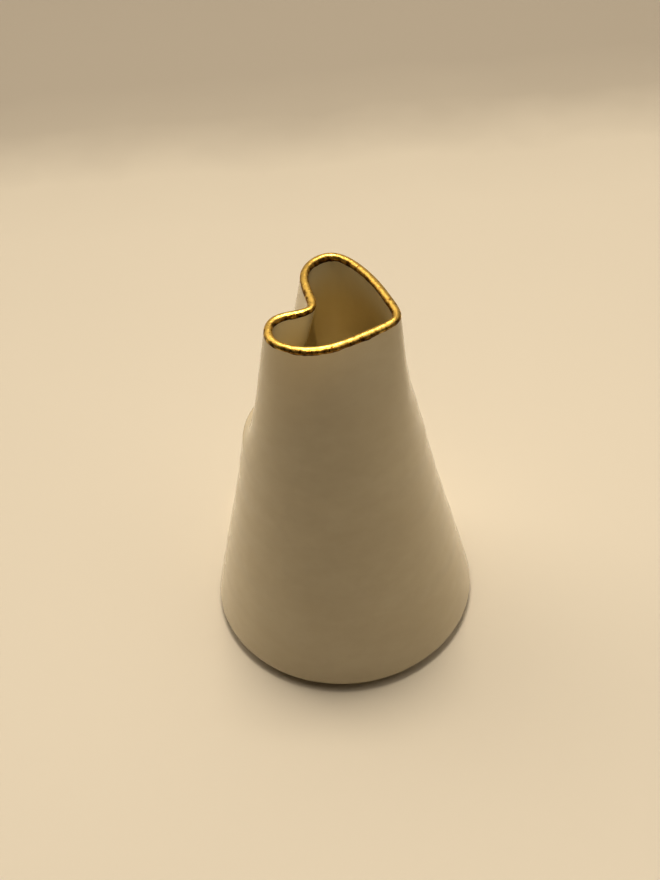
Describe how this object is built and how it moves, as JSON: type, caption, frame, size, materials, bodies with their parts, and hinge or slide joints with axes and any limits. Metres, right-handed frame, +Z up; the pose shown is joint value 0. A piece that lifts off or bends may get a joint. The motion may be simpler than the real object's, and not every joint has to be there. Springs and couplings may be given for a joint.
{
  "type": "porcelain vase",
  "caption": "Small thrown porcelain bud vase: a round cone whose mouth is squeezed into a heart, glazed inside and out, with gold lustre over the lip.",
  "frame": {"origin": "centre of the foot ring, on the surface that the vase stands on", "axes": "+Z up along the vase's axis, +X towards the point of the heart-shaped mouth, the dent towards -X, the two lobes towards +Y and -Y"},
  "size_m": [0.0732, 0.0732, 0.1084],
  "materials": {
    "porcelain": "unglazed, fired and smoothed, matt",
    "glaze": "clear gloss glaze over white porcelain",
    "glaze_inside": "clear gloss glaze, poured",
    "gold": "bright burnished gold lustre, brushed on"
  },
  "bodies": {
    "root": {"porcelain_body": "porcelain", "outer_glaze": "glaze", "inner_glaze": "glaze_inside", "gold_rim": "gold"}
  },
  "joints": []
}
